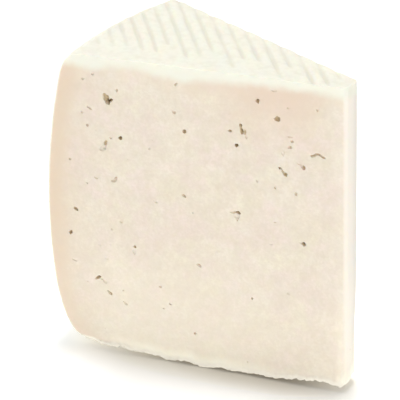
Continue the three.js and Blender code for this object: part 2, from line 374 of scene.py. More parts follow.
def shapeWedge(bm):
    capEdge = wheel["capRadius"] - wheel["rimMargin"]
    for v in bm.verts:
        x, y, rise = v.co
        flat = math.hypot(x, y)
        turn = math.atan2(y, -x)
        isRim = flat > capEdge
        rimRadius, rimHeight = rimPoints[min(int(round(rise * rimRows)), rimRows)]
        bulge = (rimRadius - wheel["capRadius"]) * smooth(flat, wheel["bulgeStart"], wheel["capRadius"])
        radius = rimRadius if isRim else flat + bulge
        bow = cut["tipBow"] * (smooth(rise, *cut["tipBowTurn"]) - cut["tipBowBelow"])
        radius -= bow * (1 - smooth(radius, cut["tip"], cut["tipBowEnd"]))
        x, y = -radius * math.cos(turn), radius * math.sin(turn)
        level = (rimHeight - wheel["footHeight"]) / (wheel["height"] - wheel["footHeight"])
        top = wheel["height"] - capRelief(x, y, radius, 1)
        base = max(baseHeight(radius) + capRelief(x, y, radius, 0) + edgeLift(x, y, radius), 0)
        if isRim:
            lift = smooth(level, *wheel["topBlend"]) * (top - wheel["height"])
            drop = (1 - smooth(level, *wheel["baseBlend"])) * (base - baseHeight(radius))
            v.co = (x, y, max(rimHeight + lift + drop, 0))
        else:
            v.co = (x, y, mix(base, top, level))


def unevenCuts(bm):
    for v in bm.verts:
        for side, normal in enumerate((frontNormal, backNormal)):
            if abs(v.co.dot(normal)) > cut["onCut"]:
                continue
            radius = v.co.xy.length
            spot = Vector((radius, v.co.z, cut["layer"] * side))
            shift = cut["wave"] * noise.noise(spot / cut["waveSize"])
            shift += cut["drag"] * noise.noise(spot / cut["dragSize"])
            aboveEdge = v.co.z - baseHeight(radius) - edgeLift(v.co.x, v.co.y, radius)
            torn = 1 - smooth(aboveEdge, 0, edge["lipHeight"])
            outGrain, upGrain = edge["crumbGrain"]
            spot = Vector((radius * outGrain, v.co.z * upGrain, edge["crumbLayer"] + side))
            crumb = edge["tear"] * edge["crumb"] * noise.fractal(spot, *edge["crumbRough"])
            tipEnd = smooth(radius, *edge["lipTipEnd"]) if side else 1
            lip = edge["lip"] * (1 - smooth(radius, *edge["lipRimEnd"])) * tipEnd
            v.co += normal * (shift + torn * (crumb + lip))


def unevenRim(bm):
    for v in bm.verts:
        share = smooth(v.co.xy.length, *rimUneven["grows"])
        if share > 0 and v.co.y > rimUneven["offCut"]:
            arc = math.atan2(v.co.y, -v.co.x) * wheel["radius"]
            swell = unevenAt(arc, v.co.z, rimUneven["swellGrain"], rimUneven["swellLayer"])
            dents = roughAt(arc, v.co.z, rimUneven["dentGrain"], rimUneven["dentLayer"],
                            rimUneven["dentRough"])
            out = rimUneven["swell"] * swell + rimUneven["dents"] * dents - rimUneven["inset"]
            stretch = 1 + share * out / wheel["radius"]
            v.co.x *= stretch
            v.co.y *= stretch


# Eyes of the front cut: distance from the axis, height over the floor, width, own height, tilt in
# degrees (clockwise) and depth share. Each group of overlapping hollows makes one eye.
frontEyes = (
    ((78.4, 79.9, 1.9, 2.6, -12, 0.6), (77.8, 78.8, 1.8, 1.6, -20, 0.9), (76.9, 79.4, 1.2, 1.0, -10, 1.5)),
    ((75.0, 82.4, 0.7, 1.2, 10, 0.9),),
    ((81.8, 86.4, 1.0, 0.9, 0, 0.5),),
    ((84.7, 84.7, 1.2, 0.9, 0, 0.4),),
    ((83.5, 76.3, 1.7, 0.8, 30, 0.5),),
    ((85.7, 74.6, 0.8, 0.8, 0, 0.4),),
    ((84.3, 70.9, 0.9, 0.9, 0, 0.7),),
    ((79.3, 66.2, 1.1, 1.9, 22, 0.7), (79.8, 65.0, 1.4, 1.7, 12, 0.27), (80.5, 64.2, 1.8, 1.3, 0, 0.12)),
    ((77.6, 68.0, 0.9, 0.8, 0, 0.4),),
    ((74.8, 68.4, 1.3, 1.1, -20, 1.4),),
    ((90.3, 59.7, 0.9, 0.8, 0, 0.6),),
    ((76.8, 55.6, 0.9, 1.6, 8, 0.75), (77.4, 54.9, 1.5, 0.9, -8, 0.65)),
    ((82.8, 55.0, 1.3, 0.7, 20, 0.4),),
    ((85.6, 53.0, 0.9, 0.6, 0, 0.4),),
    ((57.8, 86.6, 0.7, 1.3, 40, 0.8),),
    ((58.7, 78.3, 1.3, 1.1, 0, 0.6),),
    ((56.0, 73.1, 1.2, 1.2, 0, 1.0),),
    ((66.3, 66.3, 0.8, 0.8, 0, 0.4),),
    ((56.8, 53.5, 1.5, 0.9, 25, 0.9),),
    ((65.4, 50.3, 1.4, 0.8, 35, 0.6),),
    ((89.6, 44.2, 1.6, 1.1, 35, 1.2),),
    ((91.7, 36.3, 1.0, 1.5, 28, 1.1),),
    ((91.1, 27.6, 1.5, 0.8, 15, 0.5),),
    ((84.1, 23.1, 2.2, 0.9, -32, 1.4), (83.1, 22.9, 1.0, 0.8, 20, 0.5), (82.1, 22.1, 1.7, 0.9, 45, 0.5)),
    ((80.7, 18.5, 1.9, 0.9, 42, 1.0),),
    ((76.1, 16.0, 1.7, 0.8, 35, 0.6),),
    ((76.6, 20.4, 0.8, 0.7, 0, 0.4),),
    ((65.0, 23.6, 1.0, 0.9, 0, 0.4),),
    ((62.3, 18.4, 0.8, 0.8, 0, 0.5),),
    ((64.3, 16.6, 0.8, 0.6, 0, 0.4),),
    ((72.2, 35.1, 1.1, 0.9, 20, 1.2), (72.5, 33.4, 0.9, 1.6, 0, 0.25)),
    ((78.9, 39.5, 0.9, 0.8, 0, 0.5),),
    ((76.0, 42.3, 1.1, 0.8, 0, 0.4),),
    ((54.5, 48.7, 0.7, 0.8, 0, 0.6),),
    ((53.2, 32.5, 1.7, 0.9, 32, 0.9),),
    ((55.2, 10.1, 0.9, 0.8, 0, 0.9),),
    ((81.0, 29.7, 1.1, 0.6, 0, 0.3),),
    ((82.9, 33.7, 0.9, 0.7, 0, 0.3),),
    ((87.5, 21.2, 0.8, 0.5, 0, 0.5),),
    ((35.1, 84.9, 1.3, 1.3, 0, 0.8),),
    ((29.7, 80.4, 1.8, 1.6, -20, 0.6),),
    ((40.0, 77.0, 0.9, 1.5, -12, 1.3), (39.7, 75.4, 1.1, 2.0, -6, 1.0), (38.8, 75.2, 1.1, 1.6, 0, 0.7)),
    ((38.4, 73.9, 0.9, 1.2, -10, 0.4),),
    ((43.0, 75.1, 1.2, 1.0, 0, 0.9),),
    ((41.2, 71.1, 1.2, 1.2, 0, 1.5),),
    ((26.2, 75.8, 1.6, 0.6, -8, 0.4), (25.7, 74.5, 0.9, 0.9, 0, 0.7)),
    ((26.3, 72.7, 1.3, 0.8, -15, 0.9),),
    ((28.2, 70.7, 0.9, 1.4, 0, 0.25),),
    ((22.6, 67.3, 1.0, 1.4, -10, 1.1), (23.7, 68.2, 1.7, 0.6, 20, 0.35)),
    ((24.7, 59.2, 0.9, 1.2, 15, 0.7),),
    ((35.6, 61.4, 0.8, 1.1, 0, 0.25),),
    ((30.6, 60.3, 0.8, 1.1, -20, 0.25),),
    ((41.3, 50.9, 1.9, 1.2, 12, 1.0), (42.6, 50.8, 1.8, 0.8, -10, 0.6), (41.7, 49.8, 1.6, 1.8, 0, 0.2)),
    ((41.5, 48.7, 0.8, 0.7, 0, 0.6),),
    ((18.6, 84.5, 0.9, 1.0, 20, 0.4),),
    ((26.6, 84.1, 0.7, 0.7, 0, 0.3),),
    ((30.4, 88.4, 1.4, 0.8, 0, 0.25),),
    ((22.8, 44.4, 1.3, 1.2, 10, 1.3), (23.7, 44.5, 1.1, 0.7, 0, 0.5)),
    ((32.0, 42.7, 1.1, 0.7, 0, 0.3),),
    ((27.4, 28.2, 1.0, 0.8, 0, 0.4),),
    ((37.9, 24.6, 0.8, 0.8, 0, 1.0),),
    ((39.7, 3.6, 0.6, 0.8, 0, 0.9),),
    ((47.6, 37.7, 1.1, 0.9, 20, 0.25),),
    ((30.8, 49.7, 0.9, 0.6, 0, 0.3),),
)

# Cracks of the front cut: points along each, then its width and depth share
cracks = (
    (
        ((20.4, 71.0), (19.9, 71.1), (19.3, 71.6), (18.7, 71.9), (17.9, 71.6), (17.3, 71.2), (16.8, 71.0)),
        0.72, 1.0,
    ),
    (((29.2, 66.2), (29.0, 66.0)), 0.8, 1.5),
    (((28.8, 65.8), (28.3, 65.2), (28.0, 64.9)), 0.55, 1.8),
    (((27.8, 64.6), (27.6, 64.5)), 1.2, 0.85),
)

eyes = {
    "seed": 4711,
    "sets": 3,                 # hollows that overlap are cut one after the other
    "lift": 0.3,               # the fitted camera sees the front eyes this much higher
    "fineOver": 1.2,           # larger hollows have more facets
    "facets": (2, 3),
    "layerReach": 50,
    "lumps": ((0.42, 1.3), (0.16, 3.1)),     # how strong and how many the lumps of a hollow are
    "depth": 0.85,             # share of the smaller side
    "frontPinholes": (34, 0.4, 0.7, 0.35),   # number, smallest, largest, depth share
    "backEyes": (46, 0.8, 2.6, 0.8),
    "backPinholes": (40, 0.4, 0.8, 0.35),
    "tipPinholes": 5,
    "tipFirst": 12,
    "tipPitch": 16,
    "tipSize": 0.5,
    "tipDepth": 0.7,
}

# Where the eyes that aren't placed one by one lie, and how they vary
scatter = {
    "nearest": 17,
    "reach": 74,
    "lowest": 4,
    "rise": 84,
    "fewLarge": 3,             # the higher, the fewer large eyes
    "rimSide": 97,             # clear of the bulging rim
    "rimMiddle": 40,
    "rimSlope": 0.14,
    "tallness": (0.45, 0.95),
    "deepness": (0.4, 1.4),
    "tilt": 60,
    "secondOver": 1.1,         # wider eyes have a second hollow
    "secondShift": 0.5,
    "secondDrop": 0.35,
    "secondWidth": 0.75,
    "secondTall": 0.7,
    "secondTilt": 80,
    "secondDeepness": (0.3, 1.2),
}


def eyeCutter(bm, draw, side, distance, height, width, tall, tilt, deep):
    plain, fine = eyes["facets"]
    detail = fine if max(width, tall) > eyes["fineOver"] else plain
    made = bmesh.ops.create_icosphere(bm, subdivisions=detail, radius=1)["verts"]
    layer = Vector([draw.random() * eyes["layerReach"] for axis in range(3)])
    for v in made:
        v.co *= sum((strong * noise.noise(v.co * many + layer) for strong, many in eyes["lumps"]), 1.0)
    depth = min(width, tall) * eyes["depth"] * deep
    bmesh.ops.scale(bm, verts=made, vec=(width / 2, depth, tall / 2))
    turnUp = Matrix.Rotation(math.radians(tilt), 3, "Y")
    bmesh.ops.rotate(bm, verts=made, cent=(0, 0, 0), matrix=turnUp)
    bmesh.ops.translate(bm, verts=made, vec=(-distance, 0, height))
    if side:
        bmesh.ops.rotate(bm, verts=made, cent=(0, 0, 0), matrix=Matrix.Rotation(-side, 3, "Z"))


def scatterEyes(sets, draw, side, placed, count, small, large, deep):
    while count:
        distance = scatter["nearest"] + scatter["reach"] * math.sqrt(draw.random())
        height = scatter["lowest"] + scatter["rise"] * draw.random()
        width = small + (large - small) * draw.random() ** scatter["fewLarge"]
        rimSide = scatter["rimSide"] - abs(height - scatter["rimMiddle"]) * scatter["rimSlope"]
        isClear = all(math.hypot(distance - d, height - h) > width + w for d, h, w in placed)
        if distance > rimSide or not isClear:
            continue
        placed.append((distance, height, width))
        count -= 1
        tall = width * draw.uniform(*scatter["tallness"])
        share = deep * draw.uniform(*scatter["deepness"])
        tilt = draw.uniform(-scatter["tilt"], scatter["tilt"])
        eyeCutter(sets[0], draw, side, distance, height, width, tall, tilt, share)
        if width > scatter["secondOver"]:
            distance += width * draw.uniform(-scatter["secondShift"], scatter["secondShift"])
            height -= width * scatter["secondDrop"]
            tilt = draw.uniform(-scatter["secondTilt"], scatter["secondTilt"])
            share = deep * draw.uniform(*scatter["secondDeepness"])
            width *= scatter["secondWidth"]
            tall *= scatter["secondTall"]
            eyeCutter(sets[1], draw, side, distance, height, width, tall, tilt, share)


# Hollows that overlap are in different sets, because each set is cut in one step
def cutterSets():
    draw = random.Random(eyes["seed"])
    sets = [bmesh.new() for i in range(eyes["sets"])]
    for group in frontEyes:
        for i, (distance, height, *shape) in enumerate(group):
            eyeCutter(sets[i], draw, 0, distance, height + eyes["lift"], *shape)
    for points, width, deep in cracks:
        for i, ((r0, z0), (r1, z1)) in enumerate(zip(points, points[1:])):
            reach = math.hypot(r1 - r0, z1 - z0)
            tilt = math.degrees(math.atan2(z1 - z0, r1 - r0))
            middle, height = (r0 + r1) / 2, (z0 + z1) / 2 + eyes["lift"]
            eyeCutter(sets[i % len(sets)], draw, 0, middle, height, reach + width, width, tilt, deep)
    placedFront = [(eye[0], eye[1], max(eye[2], eye[3])) for group in frontEyes for eye in group]
    placedBack = []
    scatterEyes(sets, draw, 0, placedFront, *eyes["frontPinholes"])
    scatterEyes(sets, draw, cut["angle"], placedBack, *eyes["backEyes"])
    scatterEyes(sets, draw, cut["angle"], placedBack, *eyes["backPinholes"])
    for i in range(eyes["tipPinholes"]):
        height = eyes["tipFirst"] + eyes["tipPitch"] * i
        size = eyes["tipSize"]
        eyeCutter(sets[-1], draw, cut["angle"] / 2, -tipReach, height, size, size, 0, eyes["tipDepth"])
    return sets


def addObject(name, data):
    obj = bpy.data.objects.new(name, data)
    bpy.context.scene.collection.objects.link(obj)
    return obj


def toObject(bm, name):
    mesh = bpy.data.meshes.new(name)
    bm.to_mesh(mesh)
    bm.free()
    return addObject(name, mesh)


def cutEyes(obj, cutters):
    for cutter in cutters:
        step = obj.modifiers.new("eyes", "BOOLEAN")
        step.operation = "DIFFERENCE"
        step.solver = "MANIFOLD"
        step.object = cutter
    graph = bpy.context.evaluated_depsgraph_get()
    mesh = bpy.data.meshes.new_from_object(obj.evaluated_get(graph))
    obj.modifiers.clear()
    obj.data = mesh
    for cutter in cutters:
        bpy.data.objects.remove(cutter)


marks = {
    "rowsPerMm": 4,            # how finely the rim's section is read
    "skin": 1.6,               # nearer the top or the base than this a vertex may lie in a groove
    "capFacesUp": 0.5,
    "tipRounding": 0.8,        # the rounded tip is no hollow
    "tipRoundingEnd": (0.6, 2.2),
    "eyeFrom": 0.3,            # waves of the cut are less deep than this
    "eyeOffRind": (1.3, 1.8),
}


def rimReach(height):
    for (r0, z0), (r1, z1) in zip(rimPoints, rimPoints[1:]):
        if height <= z1:
            return mix(r0, r1, max((height - z0) / (z1 - z0), 0))
    return rimPoints[-1][0]


# What the finish needs to know of each vertex. depths: how far below the white rind, how far in
# from the rim, how far above the torn edge. marks: how deep in a groove, how deep in an eye, how
# far from the wheel's axis. cap: 1 on the top.
def markDepths(obj):
    perMm = marks["rowsPerMm"]
    reach = [rimReach(i / perMm) for i in range(int(wheel["height"] * perMm) + perMm)]
    tipFrom, tipTo = (cut["tip"] + more for more in marks["tipRoundingEnd"])
    depths, places, caps = [], [], []
    for v in obj.data.vertices:
        x, y, z = v.co
        radius = v.co.xy.length
        fromBack, fromTip = -v.co.dot(backNormal), tipReach - v.co.dot(tipNormal)
        inRim = reach[min(max(int(z * perMm), 0), len(reach) - 1)] - radius
        below = wheel["height"] - z
        above = z - baseHeight(radius) - edgeLift(x, y, radius)
        rindPlace = radius if y < fromBack else rind["backTurn"] - radius
        depths += (below - readAlong(rindEdge, rindPlace), max(inRim, 0), above)
        inside = min(y, fromBack, fromTip) - marks["tipRounding"] * (1 - smooth(radius, tipFrom, tipTo))
        eyeDepth = max(inside - marks["eyeFrom"], 0) * smooth(min(below, inRim, above), *marks["eyeOffRind"])
        isTop = below < marks["skin"]
        groove = 0.0
        if isTop or above < marks["skin"]:
            groove = grooveShare(x, y, radius, 1 if isTop else 0)[0]
        places += (groove, eyeDepth, radius)
        caps.append(1.0 if isTop and v.normal.z > marks["capFacesUp"] else 0.0)
    for name, kind, field, values in (("depths", "FLOAT_VECTOR", "vector", depths),
                                      ("marks", "FLOAT_VECTOR", "vector", places),
                                      ("cap", "FLOAT", "value", caps)):
        obj.data.attributes.new(name, kind, "POINT").data.foreach_set(field, values)


def buildWedge():
    bm = wedgePlan()
    cutPlan(bm)
    raiseWalls(bm)
    shapeWedge(bm)
    unevenCuts(bm)
    unevenRim(bm)
    bmesh.ops.recalc_face_normals(bm, faces=bm.faces[:])
    print("wedge body:", len(bm.faces), "faces")
    obj = toObject(bm, "cheeseWedge")
    cutEyes(obj, [toObject(part, "eyeCutter") for part in cutterSets()])
    markDepths(obj)
    obj.data.transform(Matrix.Translation(axisPlace) @ Matrix.Scale(mm, 4))
    for polygon in obj.data.polygons:
        polygon.use_smooth = True
    obj.data.set_sharp_from_angle(angle=cut["sharpFrom"])
    triangles = sum(len(polygon.vertices) - 2 for polygon in obj.data.polygons)
    print("wedge with eyes:", len(obj.data.polygons), "faces,", triangles, "triangles")
    return obj


# Short ways to add the nodes that the materials and the sky share. A span is where it starts and
# ends, and its results there, which are 0 and 1 where they are left out.
def nodeTools(tree):
    nodes, links = tree.nodes, tree.links

    def fill(socket, value):
        if isinstance(value, bpy.types.NodeSocket):
            links.new(value, socket)
        elif socket.type == "RGBA":
            socket.default_value = (*value, 1)
        else:
            socket.default_value = value

    def maths(operation, *values):
        node = nodes.new("ShaderNodeMath")
        node.operation = operation
        for socket, value in zip(node.inputs, values):
            fill(socket, value)
        return node.outputs[0]

    def span(value, low, high, start=0.0, end=1.0):
        node = nodes.new("ShaderNodeMapRange")
        node.interpolation_type = "SMOOTHSTEP"
        links.new(value, node.inputs["Value"])
        for name, limit in (("From Min", low), ("From Max", high), ("To Min", start), ("To Max", end)):
            node.inputs[name].default_value = limit
        return node.outputs["Result"]

    def blend(share, below, above):
        node = nodes.new("ShaderNodeMix")
        node.data_type = "RGBA"
        fill(node.inputs["Factor"], share)
        colours = [socket for socket in node.inputs if socket.type == "RGBA"]
        for socket, value in zip(colours, (below, above)):
            fill(socket, value)
        return next(socket for socket in node.outputs if socket.type == "RGBA")

    def parted(vector):
        node = nodes.new("ShaderNodeSeparateXYZ")
        links.new(vector, node.inputs[0])
        return node.outputs

    return maths, span, blend, parted


paste = {
    "colour": (0.812, 0.745, 0.640),
    "warm": (0.803, 0.726, 0.608),
    "rosy": (0.812, 0.704, 0.638),
    "creamy": (0.817, 0.765, 0.615),
    "crumb": (0.647, 0.560, 0.444),
    "underRind": (0.745, 0.638, 0.509),
    "underRindFar": (0.772, 0.703, 0.546),
    "rimBand": (0.726, 0.601, 0.463),
    # Painted light: the lowest paste of the cuts is painted paler and yellower, where the shaded floor
    # before it leaves it dim
    "lowPaste": (0.917, 0.859, 0.711),
    "lowEdge": (0.985, 0.940, 0.800),
    "foot": (0.998, 0.945, 0.820),
    # The blunt tip's paste is paler, and its face is painted darker towards its far side as painted shade
    "tip": (0.855, 0.798, 0.706),
    "tipShadedFar": (0.740, 0.698, 0.629),
    "nearTip": (0.722, 0.588, 0.468),
    "rindEdge": (0.804, 0.796, 0.692),
    "rind": (0.845, 0.830, 0.718),
    "rimIvory": (0.845, 0.800, 0.655),
    # The groove colour is painted into the top's grooves as painted shade, and also marks stains and pores
    # of the rind
    "groove": (0.732, 0.700, 0.580),
    # The underside is painted darker, as painted shade in the gap under the torn edge
    "under": (0.780, 0.720, 0.600),
    # The eyes' walls turn tan, partly their own colour and partly painted shade, and deeper in they are
    # painted nearly black as painted shade
    "eyeTanShade": (0.540, 0.405, 0.215),
    "eyeDeepShade": (0.100, 0.054, 0.020),
}

# Spans over distances are in millimetres. A pattern is its scale over a metre and its detail.
finish = {
    "specular": 0.35,
    "scatterRadius": (1.0, 0.62, 0.36),
    "scatterScale": 0.0022,
    "patternRoughness": 0.55,
    "patches": (               # pattern, span over it, colour
        ((60, 2), (0.36, 0.66), "warm"),
        ((95, 2), (0.42, 0.66, 0.0, 0.9), "rosy"),
        ((120, 3), (0.50, 0.70, 0.0, 0.9), "creamy"),
        ((190, 2), (0.48, 0.70, 0.0, 0.7), "rosy"),
        ((520, 2), (0.50, 0.72, 0.0, 0.50), "creamy"),
    ),
    "warmBelow": (15.0, 60.0, 0.2, 0.0),
    "crumbs": (((150, 2), 0.14), ((260, 3), 0.21), ((420, 2), 0.20), ((900, 2), 0.20), ((1400, 2), 0.20)),
    "crumbSpan": (0.36, 0.64),
    "ragged": (330, 3),        # borders wander by up to a millimetre
    "raggedEdge": 0.8,
    "raggedFoot": 0.3,
    "tan": (0.6, 6.0, 0.75, 0.0),            # the paste is darker under the rind
    "tanPatches": ((60, 2), (0.25, 0.6)),
    "tanFar": (58, 76),
    "nearTipStart": (13, 24),  # and darker still a little way off the tip
    "nearTipEnd": (33, 52, 1.0, 0.0),
    "nearTipDown": (1.0, 22.0, 0.8, 0.0),
    "rimBand": (2.0, 7.5, 0.6, 0.0),
    "rimHaze": (3.0, 15.0, 0.35, 0.0),
    "rimBandUp": (4.0, 40.0, 0.75, 1.0),
    "tipShadeAcross": (-0.0229, -0.0190),         # painted shade across the blunt tip's face, in metres along Y
    "tipPale": (12.0, 17.0, 0.15, 0.0),
    "tipFace": (11.1, 12.0),
    "paintedLightAlong": (18.0, 50.0, 0.2, 1.0),      # painted light on the lower paste fades towards the tip and the rim
    "paintedLightAtTip": (12.5, 15.0, 0.9, 0.0),
    "paintedLightOffRim": (4.0, 20.0, 0.1, 1.0),
    "paintedLightBands": (
        ((12.0, 44.0, 0.26, 0.0), "lowPaste"),
        ((1.0, 13.0, 0.22, 0.0), "lowPaste"),
        ((0.8, 4.5, 0.78, 0.0), "lowEdge"),
    ),
    "foot": (0.45, 1.35, 0.95, 0.0),
    "rindEdge": (-1.3, 1.9, 1.0, 0.0),
    "rimSkin": (0.15, 0.7, 1.0, 0.0),
    "rindStains": (((260, 3), (0.45, 0.75, 0.0, 0.25)), ((520, 2), (0.42, 0.66, 0.0, 0.16))),
    # painted shade in the grooves
    "groove": (0.02, 0.8, 0.0, 0.60),
    "rimStains": ((48, 4), (0.40, 0.64, 0.0, 0.75)),
    "rimPores": ((620, 3), (0.54, 0.68, 0.0, 0.60)),
    # painted shade on the underside, in the gap under the torn edge
    "under": (0.02, 0.14, 1.0, 0.0),
    # painted shade in the eyes, darker with depth
    "eyeTanShade": (0.0, 0.35, 0.0, 0.8),
    "eyeDeepShade": (0.3, 1.0),
    "scatterUp": (0.4, 3.0, 0.0, 0.35),      # no light scatters inside the thin torn edge
    "roughness": ((260, 3), (0.3, 0.7, 0.42, 0.56)),
    "rindRoughness": 0.2,
    "bumpStrength": 0.5,
    "bumpDistance": 0.00025,
    "bumpFine": ((1400, 2), 0.35),
    "bumpCoarse": ((520, 3), 0.75),
    "bumpPaste": 0.55,
    "bumpRind": 0.9,
}


def cheeseMaterial():
    mat = bpy.data.materials.new("cheesePasteAndRind")
    mat.use_nodes = True
    nodes, links = mat.node_tree.nodes, mat.node_tree.links
    maths, span, blend, parted = nodeTools(mat.node_tree)
    shader = nodes["Principled BSDF"]
    shader.inputs["Specular IOR Level"].default_value = finish["specular"]
    shader.inputs["Subsurface Radius"].default_value = finish["scatterRadius"]
    shader.inputs["Subsurface Scale"].default_value = finish["scatterScale"]
    place = nodes.new("ShaderNodeTexCoord").outputs["Object"]
    patterns = {}

    def pattern(scale, detail):
        if (scale, detail) not in patterns:
            node = nodes.new("ShaderNodeTexNoise")
            node.inputs["Scale"].default_value = scale
            node.inputs["Detail"].default_value = detail
            node.inputs["Roughness"].default_value = finish["patternRoughness"]
            links.new(place, node.inputs["Vector"])
            patterns[scale, detail] = node.outputs["Fac"]
        return patterns[scale, detail]

    def patternSpan(name):
        scaleAndDetail, limits = finish[name]
        return span(pattern(*scaleAndDetail), *limits)

    def attribute(name):
        node = nodes.new("ShaderNodeAttribute")
        node.attribute_name = name
        return node.outputs

    fromRind, fromRim, fromFoot = parted(attribute("depths")["Vector"])
    groove, eyeDepth, fromAxis = parted(attribute("marks")["Vector"])
    onCap = attribute("cap")["Fac"]
    ragged = maths("MULTIPLY_ADD", pattern(*finish["ragged"]), 2.0, -1.0)
    raggedFromRind = maths("ADD", fromRind, ragged)
    raggedFromRim = maths("ADD", fromRim, ragged)

    # Mottled paste with crumbs
    colour = paste["colour"]
    for scaleAndDetail, limits, name in finish["patches"]:
        colour = blend(span(pattern(*scaleAndDetail), *limits), colour, paste[name])
    colour = blend(span(fromFoot, *finish["warmBelow"]), colour, paste["warm"])
    for scaleAndDetail, share in finish["crumbs"]:
        crumb = span(pattern(*scaleAndDetail), *finish["crumbSpan"], 0.0, share)
        colour = blend(crumb, colour, paste["crumb"])

    # Darker paste under the rind, near the tip and along the rim
    tan = maths("MULTIPLY", span(raggedFromRind, *finish["tan"]), patternSpan("tanPatches"))
    tanColour = blend(span(fromAxis, *finish["tanFar"]), paste["underRind"], paste["underRindFar"])
    colour = blend(tan, colour, tanColour)
    nearTip = maths("MULTIPLY", span(fromAxis, *finish["nearTipStart"]),
                    span(fromAxis, *finish["nearTipEnd"]))
    nearTip = maths("MULTIPLY", nearTip, span(raggedFromRind, *finish["nearTipDown"]))
    colour = blend(nearTip, colour, paste["nearTip"])
    band = maths("ADD", span(raggedFromRim, *finish["rimBand"]), span(raggedFromRim, *finish["rimHaze"]))
    band = maths("MULTIPLY", band, span(fromFoot, *finish["rimBandUp"]))
    colour = blend(band, colour, paste["rimBand"])

    # Blunt tip with painted shade across its face, painted light on the lower paste, and torn edge
    # The tip's face is painted darker towards its far side, as painted shade where it turns from the light
    tipPaleAndShaded = blend(span(parted(place)["Y"], *finish["tipShadeAcross"]), paste["tip"], paste["tipShadedFar"])
    colour = blend(span(fromAxis, *finish["tipPale"]), colour, paste["tip"])
    colour = blend(span(fromAxis, *finish["tipFace"]), tipPaleAndShaded, colour)
    # Painted light lifts the lower paste, which the shaded floor before the cut leaves dim
    low = maths("MAXIMUM", span(fromAxis, *finish["paintedLightAlong"]), span(fromAxis, *finish["paintedLightAtTip"]))
    low = maths("MULTIPLY", low, span(fromRim, *finish["paintedLightOffRim"]))
    for limits, name in finish["paintedLightBands"]:
        colour = blend(maths("MULTIPLY", span(fromFoot, *limits), low), colour, paste[name])
    raggedFoot = maths("MULTIPLY_ADD", ragged, finish["raggedFoot"], fromFoot)
    colour = blend(span(raggedFoot, *finish["foot"]), colour, paste["foot"])

    # White rind on the top, on the rim and where the cut shows it
    raggedEdge = maths("MULTIPLY_ADD", ragged, finish["raggedEdge"], fromRind)
    colour = blend(span(raggedEdge, *finish["rindEdge"]), colour, paste["rindEdge"])
    skin = span(fromRim, *finish["rimSkin"])
    rindShare = maths("MAXIMUM", onCap, skin)
    rindColour = paste["rind"]
    for scaleAndDetail, limits in finish["rindStains"]:
        rindColour = blend(span(pattern(*scaleAndDetail), *limits), rindColour, paste["groove"])
    # The grooves are painted darker, as painted shade
    rindColour = blend(span(groove, *finish["groove"]), rindColour, paste["groove"])
    rindColour = blend(maths("MULTIPLY", skin, patternSpan("rimStains")), rindColour, paste["rimIvory"])
    rindColour = blend(maths("MULTIPLY", skin, patternSpan("rimPores")), rindColour, paste["groove"])
    colour = blend(rindShare, colour, rindColour)

    # Underside and eyes, with painted shade under the torn edge and deeper in the eyes
    # Painted shade on the underside
    colour = blend(span(fromFoot, *finish["under"]), colour, paste["under"])
    # The eyes are painted darker with depth, as painted shade; their tan is partly their own colour
    colour = blend(span(eyeDepth, *finish["eyeTanShade"]), colour, paste["eyeTanShade"])
    colour = blend(span(eyeDepth, *finish["eyeDeepShade"]), colour, paste["eyeDeepShade"])
    links.new(colour, shader.inputs["Base Color"])

    links.new(span(fromFoot, *finish["scatterUp"]), shader.inputs["Subsurface Weight"])
    roughness = maths("MULTIPLY_ADD", rindShare, finish["rindRoughness"], patternSpan("roughness"))
    links.new(roughness, shader.inputs["Roughness"])

    bump = nodes.new("ShaderNodeBump")
    bump.inputs["Strength"].default_value = finish["bumpStrength"]
    bump.inputs["Distance"].default_value = finish["bumpDistance"]
    grain = 0.0
    for scaleAndDetail, share in (finish["bumpFine"], finish["bumpCoarse"]):
        grain = maths("MULTIPLY_ADD", pattern(*scaleAndDetail), share, grain)
    strength = maths("MULTIPLY_ADD", rindShare, finish["bumpRind"], finish["bumpPaste"])
    links.new(maths("MULTIPLY", grain, strength), bump.inputs["Height"])
    links.new(bump.outputs["Normal"], shader.inputs["Normal"])
    return mat


# Pale floor with painted glow, tint and shadow near the wedge, soft light from above and behind.
# Spans and places are in metres.
studio = {
    "floorHalf": 4,
    "floorRoughness": 0.9,
    "floorSpecular": 0.1,
    "floorColour": (0.97, 0.97, 0.96),
    "floorBounceTint": (0.92, 0.885, 0.80),        # painted light bounced from the cheese tints the floor close to its foot
    "bounceTintSpan": (0.0, 0.011, 0.0, 1.0),
    "floorPaintedShadow": (0.66, 0.61, 0.52),        # and a painted shadow lies on the floor beside and below the torn edge
    "underSpan": (-0.0045, 0.0010, 1.0, 0.0),
    "underAlong": (0.020, 0.034, 0.0, 0.72),
    "besideShadowSpan": (0.0, 0.010, 0.80, 0.0),
    "besideShadowStart": (-0.022, 0.012, 0.0, 1.0),
    "besideShadowEnd": (0.024, 0.050, 1.0, 0.0),
    "glowColour": (0.94, 0.97, 1.0),         # the floor glows as painted light, around a painted soft shadow
    "shadeMiddle": (-0.0047, 0, 0),
    "shadeHalf": (0.0146, 0.0313, 1),
    "shadeTurn": math.radians(19),
    "glowContact": (0.0, 0.0016, 0.0, 0.08),
    "glowRim": (-0.030, -0.006, 0.115, 0.0),
    "glowRise": (0.003, 0.038, 0.0, 0.26),
    "glowTip": (0.024, 0.046, 0.0, 0.16),
    "glowTipRise": (0.002, 0.014, 0.0, 1.0),
    "glowFall": (0.030, 0.100, 1.0, 0.35),
    "glowFar": (0.150, 0.700, 0.0, 0.62),
    "skySpan": (0.12, 0.6, 1.0, 0.25),       # bright at the horizon, softer above
    "aim": (0, 0, 0.046),
    "lights": (                # azimuth (0 towards -Y, 90 towards +X), elevation, distance, size, share of full light
        ("keyLight", 168, 85.5, 1.0, 0.22, 0.60),
        ("frontFill", 18, 10, 1.4, 0.9, 0.345),
        ("backFill", 215, 18, 1.4, 1.0, 0.22),
    ),
}


